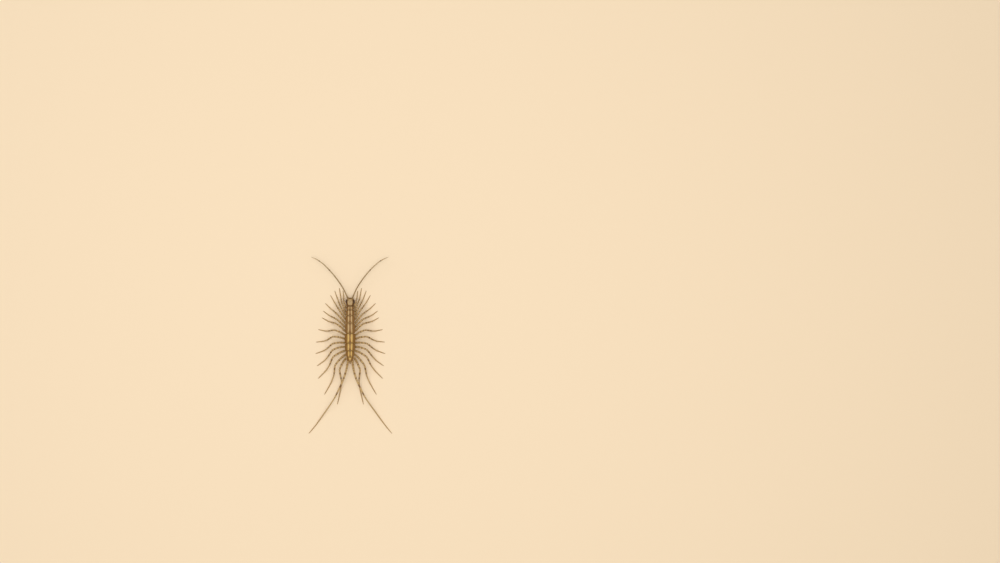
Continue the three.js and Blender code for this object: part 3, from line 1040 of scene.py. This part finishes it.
def makeMouthLimb(name, shape, side, finish, node):
    strand = Strand([(side * x, y, z) for x, y, z in shape["path"]], shape["tension"])
    end = strand.run[-1]
    run = np.append(np.arange(0, end, shape["runStep"]), end)
    place = strand.placeAt(run)
    nearest = toNearest(run, strand.runAt(shape["joints"]))
    lastPlace, lastJoint = len(shape["path"]) - 1, shape["joints"][-1]
    numbers = {
        "radius": alongStations(shape["radius"], place) * (1 - 0.22 * bell(nearest, 0.09)) * mm,
        "along": run * mm,
        "spiny": 0.9 * smoothStep(place, 0.6, 1.0) * smoothStep(place, lastPlace, lastJoint),
        "dark": 0.8 * bell(nearest, 0.1),
        "tone": shape["tone"] * smoothStep(place, lastJoint - 0.3, lastJoint + 0.9),
    }
    seed = shape["seed"] + (side > 0)
    settle(growLimb(name, strand, run, numbers, shape, seed, finish, 2), finish, node)


for word, side in sides.items():
    makeMouthLimb(f"palp{word}", palpShape, side, "limb", f"palp_{word.lower()}")
    makeMouthLimb(f"venomClaw{word}", clawShape, side, "jaw", f"venom_claw_{word.lower()}")
print("palps and venom claws grown")

# Back plates
plateShape = {
    # front edge, rear edge, half width, and the share of it lost towards the rear edge
    "plates": [
        (22.0, 20.3, 2.15, 0),
        (20.0, 17.1, 2.4, 0),
        (16.8, 12.9, 2.6, 0),
        (12.6, 7.0, 2.8, 0),
        (6.7, 1.5, 3.05, 0),
        (1.2, -2.9, 2.95, 0.08),
        (-3.2, -6.4, 2.5, 0.14),
        (-6.7, -9.1, 1.95, 0.3),
    ],
    "widest": 3.05,
    "crown": 6.1,
    "thickness": 0.42,
    "rimThickness": 0.14,
    "overlap": 0.42,  # how far each plate reaches over the next one
    "notch": 0.5,  # depth of the rear edge's notch, and of the last plate's bulge
    "lastBulge": 0.15,
    "across": 56,
    "stepsPerMm": 12,
    "spurLength": 0.2,
    "hair": {"density": 5.0, "length": 0.17, "width": 0.014, "lean": (0.0, -0.8, 0.0), "seed": 70},
}


def slab(over, under, numbers):
    # a closed slab between two grids of points, whose rows run backwards and columns to the right
    rows, columns = over.shape[:2]
    size = rows * columns
    index = np.arange(size).reshape(rows, columns)
    a, b, c, d = index[:-1, :-1], index[:-1, 1:], index[1:, 1:], index[1:, :-1]
    upper = np.stack([a, d, c, b], axis=-1).reshape(-1, 4)
    lower = np.stack([a, b, c, d], axis=-1).reshape(-1, 4) + size
    rim = np.concatenate([index[0], index[1:-1, -1], index[-1, ::-1], index[1:-1, 0][::-1]])
    ahead = np.roll(rim, -1)
    wall = np.stack([rim, ahead, ahead + size, rim + size], axis=-1)
    points = np.concatenate([over.reshape(-1, 3), under.reshape(-1, 3)])
    row, column = np.mgrid[0:rows, 0:columns]
    share, strip = column / (columns - 1) / 2, row / (rows - 1)
    numbers = numbers | {"around": (share, 1 - share), "strip": (strip, strip)}
    return points, [*upper, *lower, *wall], numbers


def makePlate(k):
    p = plateShape
    front, rear, halfWidth, taper = p["plates"][k]
    notched = k < len(p["plates"]) - 1
    length = front - rear
    across = np.sin(np.linspace(-1, 1, p["across"] + 1) * math.pi / 2)
    backwards = 0.5 - 0.5 * np.cos(np.linspace(0, 1, int(length * p["stepsPerMm"]) + 1) * math.pi)
    u, v = np.meshgrid(across, backwards)
    flat, out = 0 * u, np.abs(u)
    width = halfWidth * (1 - taper * v * v)
    drop = 0.3 + 0.75 * (width / p["widest"]) ** 2
    rounding = 1 - 0.11 * np.abs(2 * v - 1) ** 5
    depth = p["notch"] if notched else -p["lastBulge"]
    notch = depth * np.clip(1 - (u / 0.5) ** 2, 0, None) * smoothStep(v, 0.3, 1)
    corner = 0.35 * out**5
    reach = p["overlap"] * v**6 if notched else 0
    y = front - v * length + v * v * corner + notch - (1 - v) ** 2 * corner - reach
    saddle = 0.16 * bell(u, 0.16) * smoothStep(v, 0.55, 0.92) if notched else flat
    top = p["crown"] - drop * u * u - 0.1 * (1 - v) - 0.3 * (1 - v) ** 6 + saddle + 0.07 * v**8
    bead = 0.05 * bell(out - 0.94, 0.05) + 0.03 * bell(v - 0.965, 0.03)
    furrow = -0.05 * bell(out - 0.5, 0.09) * smoothStep(v, 0.0, 0.2) * smoothStep(v, 1.0, 0.85)
    slit = bell(u, 0.022) * smoothStep(v, 0.62, 0.7) * smoothStep(v, 1.01, 0.97) if notched else flat
    top = top + bead + furrow - 0.2 * slit
    toEdge = np.minimum(np.minimum(v, 1 - v) * length, (1 - out) * halfWidth)
    edge = smoothStep(toEdge, 0.0, 0.5)
    thick = p["rimThickness"] + (p["thickness"] - p["rimThickness"]) * edge
    roll = 0.06 * (1 - smoothStep(toEdge, 0.0, 0.08))  # the rim turns over
    x = u * width * rounding
    over = np.stack([x, y, top - roll], axis=-1)
    under = np.stack([x, y, top - thick + roll], axis=-1)
    marginHair = bell(out - 0.97, 0.05) * 6 + bell(v - 0.97, 0.04) * 4
    hair = (0.6 + marginHair) * smoothStep(v, 0.04, 0.12)
    spur = 0 * u
    spur[3:-3:5, [0, -1]] = p["spurLength"] * mm  # a row of spurs down each side
    spur[-1, 4:-4:4] = 0.7 * p["spurLength"] * mm
    numbers = {"across": (u, u), "back": (v, v)}
    numbers |= {"slit": (slit, flat), "hair": (hair, flat), "spur": (spur, flat)}
    piece = growHair(f"backPlate{k + 1}", slab(over, under, numbers), p["hair"], "plates", 1, k)
    settle(piece, "shell", f"back_plate_{k + 1}")


for k in range(len(plateShape["plates"])):
    makePlate(k)
print("back plates made")

# Trunk: one skin from the neck to the tail, with leg sockets, side folds and belly plates
trunkShape = {
    "front": 22.5,
    "rear": -10.5,
    "step": 0.085,
    "around": 96,
    "height": 4.0,
    "tailRise": 0.3,
    "neckRise": 0.2,
    "halfDepth": 1.2,
    "squareness": 0.8,
    "grooveDepth": 0.16,
    "socketLift": 0.3,
    "socketSize": (0.62, 0.55),  # along the body and upwards
    "socketRim": 0.72,
    "bellyTop": 3.4,
    "plateLift": 0.07,
    "plateHalfWidth": 1.2,
    "sideShieldHeight": 4.45,  # the small hard shield over each hip
    "buds": (0.42, -8.5),  # the pair of small buds in front of the tail
    # place, and the share of the trunk's width and of its depth that is left there
    "ends": [
        (-10.5, 0.03, 0.06),
        (-10.4, 0.13, 0.26),
        (-10.2, 0.2, 0.44),
        (-9.85, 0.26, 0.58),
        (-9.8, 0.24, 0.55),
        (-9.4, 0.29, 0.7),
        (-9.2, 0.33, 0.76),
        (-9.15, 0.42, 0.7),
        (-8.95, 0.8, 0.88),
        (-8.7, 1.0, 1.0),
        (21.7, 1.0, 1.0),
        (22.1, 0.75, 0.75),
        (22.5, 0.6, 0.6),
    ],
    "hair": {"density": 3.0, "length": 0.15, "width": 0.011, "lean": (0.0, -0.8, 0.0), "seed": 80},
}


def makeTrunk():
    t = trunkShape
    y = np.arange(t["rear"], t["front"], t["step"])
    rings, count = len(y), t["around"]
    across, upwards = section(count, t["squareness"])
    phase = (hips["first"] - y) / hips["pitch"]
    crease = np.abs(np.mod(phase, 1) - 0.5)  # 0 at a groove, 0.5 over a hip
    bulge = -t["grooveDepth"] * (1 - smoothStep(crease, 0.0, 0.2))
    places, widthLeft, depthLeft = zip(*t["ends"])
    widthLeft, depthLeft = np.interp(y, places, widthLeft), np.interp(y, places, depthLeft)
    halfWidth = (alongStations(trunkHalfWidth, y) + bulge) * widthLeft
    halfDepth = (t["halfDepth"] + bulge * (y > trunkHalfWidth[0][0])) * depthLeft
    rise = t["tailRise"] * smoothStep(y, -8.7, -9.3) + t["neckRise"] * smoothStep(y, 21.6, 22.4)
    # from here on each ring of the skin is a row, so what varies along the body is a column
    y, crease, phase = y[:, None], crease[:, None], phase[:, None]
    x = halfWidth[:, None] * across
    z = t["height"] + rise[:, None] + halfDepth[:, None] * upwards
    grid = np.stack([x, y * np.ones_like(x), z], axis=-1)
    normal = gridNormals(grid)
    out, inCrease = np.abs(x), 1 - smoothStep(crease, 0.0, 0.1)
    awayY = y - (hips["first"] - hips["pitch"] * np.round(phase).clip(0, lastPair - 1))
    upZ = z - hips["height"]
    side = smoothStep(out, 1.0, 1.5)
    long, high = t["socketSize"]
    socket = bell(awayY, long) * bell(upZ, high) * side
    socketRim = bell(np.hypot(awayY, upZ) - t["socketRim"], 0.08) * side
    belly = smoothStep(z, t["bellyTop"], t["bellyTop"] - 0.4)
    plateMask = belly * smoothStep(out, 1.5, 1.25) * smoothStep(crease, 0.06, 0.14)
    plateRim = belly * bell(out - t["plateHalfWidth"], 0.09) * smoothStep(crease, 0.08, 0.16)
    shield = bell(awayY - 0.1, 0.45) * bell(z - t["sideShieldHeight"], 0.22) * side
    folds = 0.03 * np.sin(z * 17 + 1.3 * np.sin(y * 2.9)) * side * smoothStep(z, 3.8, 4.2)
    wrinkles = 0.018 * np.sin(y * 21 + 2 * np.sin(z * 5)) * side
    keep = smoothStep(y, -9.0, -8.5) * smoothStep(y, 22.0, 21.6)
    budX, budY = t["buds"]
    buds = bell(np.hypot(out - budX, y - budY), 0.2) * belly
    valves = bell(x, 0.05) * smoothStep(y, -9.5, -9.9)
    lift = t["socketLift"] * socket + t["plateLift"] * plateMask
    lift = lift - t["plateLift"] * bell(x, 0.06) * plateMask + 0.03 * plateRim
    lift = lift + 0.06 * shield + folds + wrinkles - 0.05 * socketRim
    lift = lift * keep + 0.2 * buds - 0.06 * valves
    grid = grid + normal * lift[..., None]
    onTail = smoothStep(y, -9.1, -9.3)
    dark = np.maximum.reduce(
        [
            (0.75 * bell(z - 4.7, 0.45) * side + 0.5 * inCrease * side) * (1 - belly),
            0.35 * socketRim,
            0.6 * belly * bell(out - 1.38, 0.13) * keep,
            0.55 * belly * (1 - smoothStep(crease, 0.02, 0.14)) * keep,
            0.5 * plateMask * bell(x, 0.05),
            0.6 * plateMask * bell(np.hypot(out - 0.75, 0.7 * (awayY - 0.35)), 0.22),
            onTail * (0.35 + 0.5 * smoothStep(y, -9.9, -10.3) + 0 * z),
            0.7 * buds,
            valves,
        ]
    )
    hair = 1.5 * plateMask + 0.7 * side * shield + 3.5 * onTail
    numbers = {"plate": np.maximum(plateMask, 0.5 * shield), "dark": dark, "hair": hair}
    skin = grid.reshape(-1, 3), ringFaces(rings, count), numbers | unrolled(rings, count)
    piece = growHair("trunkSkin", skin, t["hair"], "flank", 2)
    settle(piece, "flank", "trunk_front", "trunk_middle", "trunk_rear", "tail")


makeTrunk()

# Throat plate: the shield between the bases of the venom claws, with spines along its front edge
throatShape = {
    "front": 23.25,
    "rear": 20.9,
    "frontHalfWidth": 1.35,
    "rearHalfWidth": 0.55,
    "lowest": 2.3,
    "thickness": 0.4,
    "columns": 40,
    "rows": 30,
    "spines": (0.55, 0.62, 0.55, 0.42),  # lengths on each half, from the midline out
    "spinePlaces": (0.18, 0.21),  # the first one's, and the step to the next
    "hair": {"density": 4.0, "length": 0.18, "width": 0.02, "lean": (0.0, 1.4, -0.1), "seed": 85},
}


def makeThroatPlate():
    t = throatShape
    u, v = np.meshgrid(np.linspace(-1, 1, t["columns"] + 1), np.linspace(0, 1, t["rows"] + 1))
    flat, middle = 0 * u, t["columns"] // 2
    halfWidth = t["frontHalfWidth"] + (t["rearHalfWidth"] - t["frontHalfWidth"]) * v**0.8
    y = t["front"] - v * (t["front"] - t["rear"]) - (0.32 * bell(u, 0.13) + 0.4 * u**6) * (1 - v) ** 3
    toEdge = np.minimum(np.minimum(v, 1 - v) * 3, 1 - np.abs(u))
    swell = smoothStep(toEdge, 0.0, 0.35)
    bottom = t["lowest"] + 0.42 * u * u + 0.25 * v + 0.1 * (1 - swell) + 0.09 * bell(u, 0.05)
    top = t["lowest"] + t["thickness"] + 0.42 * u * u + 0.25 * v - 0.08 * (1 - swell)
    x = u * halfWidth
    spur = 0 * u
    for k, length in enumerate(t["spines"]):
        column = int(middle * (t["spinePlaces"][0] + t["spinePlaces"][1] * k))
        spur[0, [middle - column, middle + column]] = length * mm
    dark = 0.9 * smoothStep(v, 0.12, 0.02) + 0.5 * bell(u, 0.06)
    hair = 1.2 * smoothStep(v, 0.8, 0.5)
    numbers = {"spur": (flat, spur), "dark": (dark, dark), "hair": (flat, hair)}
    skin = slab(np.stack([x, y, top], -1), np.stack([x, y, bottom], -1), numbers)
    settle(growHair("throatPlate", skin, t["hair"], "jaw", 1), "jaw")


makeThroatPlate()
print("trunk and throat plate made")

# Head
headShape = {
    # place along the body, half width, half depth and middle height
    "stations": [
        (22.15, 1.25, 0.85, 4.25),
        (22.3, 1.5, 1.05, 4.25),
        (22.8, 1.9, 1.35, 4.25),
        (23.6, 2.2, 1.5, 4.25),
        (24.6, 2.3, 1.5, 4.25),
        (25.5, 2.2, 1.4, 4.2),
        (26.2, 1.85, 1.15, 4.15),
        (26.65, 1.35, 0.85, 4.1),
        (26.9, 0.75, 0.45, 4.05),
        (26.97, 0.2, 0.12, 4.03),
    ],
    "around": 160,
    "rows": 150,
    "squareness": 0.85,
    "eyeCentre": (1.94, 24.75, 4.7),
    "eyeSize": (0.65, 1.05, 0.78),
    "facets": {"Fineness": 4, "Lens height": 0.045, "Lens top": 0.68},
    "feelerSocket": (1.18, 26.45, 4.95),
    "suture": ((0, 24.5), (1.25, 25.9)),  # each branch's fork and outer end, across and along
    "rearRim": 22.42,
    "rearGroove": 22.62,
    "cheek": (24.3, 3.35),  # along and up
    "mouthHeight": 3.72,
    "lip": ((0.0, 4.35), (1.15, 3.75)),  # the upper lip's edge, across and up
    "hair": {"density": 5.0, "length": 0.2, "width": 0.014, "lean": (0.0, 0.5, 0.0), "seed": 90},
}


def segmentDistance(x, y, start, end):
    ax, ay = start
    bx, by = end
    t = np.clip(((x - ax) * (bx - ax) + (y - ay) * (by - ay)) / ((bx - ax) ** 2 + (by - ay) ** 2), 0, 1)
    return np.hypot(x - ax - t * (bx - ax), y - ay - t * (by - ay))


def makeHead():
    h = headShape
    rows, count = h["rows"], h["around"]
    stations = np.asarray(h["stations"])
    stations = splinePoints(stations, np.linspace(0, len(stations) - 1, rows), 0.5)
    along, halfWidth, halfDepth, height = stations.T[:, :, None]
    across, upwards = section(count, h["squareness"])
    y = along * np.ones((1, count))
    x = halfWidth * across
    z = height + halfDepth * upwards
    grid = np.stack([x, y, z], axis=-1)
    normal = gridNormals(grid)
    above, wide = smoothStep(z, 4.4, 5.0), np.abs(x)
    ex, ey, ez = h["eyeCentre"]
    sx, sy, sz = h["eyeSize"]
    fromEye = np.sqrt(((wide - ex) / sx) ** 2 + ((y - ey) / sy) ** 2 + ((z - ez) / sz) ** 2)
    fx, fy, fz = h["feelerSocket"]
    fromFeeler = np.sqrt((wide - fx) ** 2 + (y - fy) ** 2 + (z - fz) ** 2)
    fork, branchEnd = h["suture"]
    suture = bell(x, 0.045) * above * smoothStep(y, 24.7, 24.4)
    branch = bell(segmentDistance(wide, y, fork, branchEnd), 0.05) * above
    rearRim, rearGroove = bell(y - h["rearRim"], 0.07), bell(y - h["rearGroove"], 0.06)
    cheekY, cheekZ = h["cheek"]
    cheek = bell(y - cheekY, 0.9) * bell(z - cheekZ, 0.5) * smoothStep(wide, 0.9, 1.6)
    mouthLine = bell(z - h["mouthHeight"] + 0.12 * (y - 25), 0.05) * smoothStep(y, 24.2, 24.8)
    lipLine = bell(segmentDistance(wide, z, *h["lip"]), 0.045) * smoothStep(y, 26.0, 26.4)
    brow, socketRim = bell(fromEye - 1.14, 0.07), bell(fromFeeler - 0.56, 0.06)
    lift = 0.05 * rearRim - 0.05 * rearGroove - 0.05 * suture - 0.05 * branch + 0.1 * cheek
    lift = lift - 0.07 * mouthLine - 0.05 * lipLine + 0.06 * brow - 0.1 * smoothStep(fromEye, 1.02, 0.8)
    lift = lift + 0.06 * socketRim - 0.08 * smoothStep(fromFeeler, 0.5, 0.35)
    keep = smoothStep(halfWidth, 0.2, 0.7)
    grid = grid + normal * (lift * keep)[..., None]
    sideways = smoothStep(wide + 0.16 * (y - 24.4) ** 2, 1.2, 1.55)
    shadow = bell(segmentDistance(wide, y, (fork[0], fork[1] - 0.1), branchEnd), 0.15)
    dark = np.maximum.reduce(
        [
            0.95 * smoothStep(fromEye, 1.75, 1.15),
            0.95 * sideways * smoothStep(z, 3.6, 4.4),
            0.7 * bell(x, 0.16) * above * smoothStep(y, 24.6, 24.2),
            0.65 * shadow * above,
            0.95 * smoothStep(y, 25.9, 26.3),
            0.85 * smoothStep(y, 22.95, 22.5),
            0.45 * mouthLine,
        ]
    )
    hair = 0.6 * smoothStep(fromEye, 1.1, 1.3) + 2.0 * smoothStep(y, 25.6, 26.3)
    numbers = {"dark": dark, "hair": hair} | unrolled(rows, count)
    skin = grid.reshape(-1, 3), ringFaces(rows, count), numbers
    settle(growHair("headShell", skin, h["hair"], "head", 1), "shell", "head")
    for word, side in sides.items():
        place = {"Centre": (side * ex * mm, ey * mm, ez * mm), "Size": (sx * mm, sy * mm, sz * mm)}
        empty = meshOf(f"eye{word}", [(0, 0, 0)], [])
        piece = grow(f"eye{word}", empty, trees["eye"], place | h["facets"], finishes["eye"])
        settle(piece, "eye", f"eye_{word.lower()}")


makeHead()
print("head and eyes made")

# Mouth: upper lip, a pair of jaws and a pair of lobes below them
mouthShape = {
    # middle, half sizes, and how far the lobe leans in
    "lobes": [
        ((0.0, 26.35, 3.35), (0.75, 0.42, 0.32), 0.0),
        ((0.5, 25.75, 2.75), (0.42, 0.95, 0.42), -0.18),
        ((0.34, 25.3, 2.3), (0.34, 0.8, 0.28), -0.1),
    ],
    "fine": 28,
    "hair": {"density": 9.0, "length": 0.16, "width": 0.012, "lean": (0.0, 0.8, 0.0), "seed": 95},
}


def makeMouth():
    m, count = mouthShape, mouthShape["fine"]
    lobes = [(side, *lobe) for lobe in m["lobes"] for side in ((-1, 1) if lobe[0][0] else (1,))]
    across, upwards = section(count)
    tilt = np.linspace(-0.999, 0.999, count) * math.pi / 2
    along, ring = np.sin(tilt)[:, None], np.cos(tilt)[:, None]
    along = along * np.ones((1, count))
    flat = unrolled(count, count)
    points, faces, strip = [], [], []
    for k, (side, middle, half, lean) in enumerate(lobes):
        x = side * middle[0] + half[0] * ring * across + side * lean * (along + 1)
        z = middle[2] + half[2] * ring * upwards
        points.append(np.stack([x, middle[1] + half[1] * along, z], axis=-1).reshape(-1, 3))
        faces += [face + k * count * count for face in ringFaces(count, count)]
        strip.append((k + 0.98 * flat["strip"]) / len(lobes))
    front, hair, around = (
        np.tile(values.ravel(), len(lobes))
        for values in (smoothStep(along, 0.45, 0.9), 2 * smoothStep(along, -0.2, 0.4), flat["around"])
    )
    numbers = {"dark": front * 0.7, "tone": front * 0.8, "hair": hair, "around": around}
    skin = np.concatenate(points), faces, numbers | {"strip": strip}
    settle(growHair("mouth", skin, m["hair"], "jaw", len(lobes)), "jaw", "mouthparts")


makeMouth()
print("mouth made")

# Floor, light and air
studio = {
    "floor": (0.832, 0.668, 0.468),
    "floorRoughness": 0.9,
    "floorSize": 8.0,
    "air": (1.0, 0.95, 0.87),
    "airPower": 0.35,
    "lampSize": 0.5,
    # place and power of each lamp: one overhead and four round it
    "lamps": [
        ((0.0, 0.05, 1.25), 7.2),
        ((-0.4, 0.4, 1.05), 2.15),
        ((0.45, 0.25, 1.05), 1.25),
        ((0.35, -0.4, 1.05), 1.1),
        ((-0.4, -0.3, 1.05), 1.15),
    ],
}


def makeStudio(s):
    half = s["floorSize"] / 2
    mesh = bpy.data.meshes.new("floor")
    corners = [(-half, -half, 0), (half, -half, 0), (half, half, 0), (-half, half, 0)]
    mesh.from_pydata(corners, [], [(0, 1, 2, 3)])
    material = bpy.data.materials.new("palePaper")
    material.use_nodes = True
    shader = material.node_tree.nodes["Principled BSDF"]
    shader.inputs["Base Color"].default_value = (*s["floor"], 1)
    shader.inputs["Roughness"].default_value = s["floorRoughness"]
    mesh.materials.append(material)
    floor = bpy.data.objects.new("floor", mesh)
    bpy.context.scene.collection.objects.link(floor)
    for k, (place, power) in enumerate(s["lamps"]):
        lamp = bpy.data.lights.new(f"lamp{k + 1}", "AREA")
        lamp.size, lamp.energy = s["lampSize"], power
        stand = bpy.data.objects.new(f"lamp{k + 1}", lamp)
        stand.location = place
        aim = -stand.location
        stand.rotation_euler = aim.to_track_quat("-Z", "Y").to_euler()
        bpy.context.scene.collection.objects.link(stand)
    world = bpy.data.worlds.new("studioAir")
    world.use_nodes = True
    background = world.node_tree.nodes["Background"]
    background.inputs["Color"].default_value = (*s["air"], 1)
    background.inputs["Strength"].default_value = s["airPower"]
    bpy.context.scene.world = world
    bpy.context.scene.view_settings.view_transform = "Standard"


makeStudio(studio)
print("studio lit")
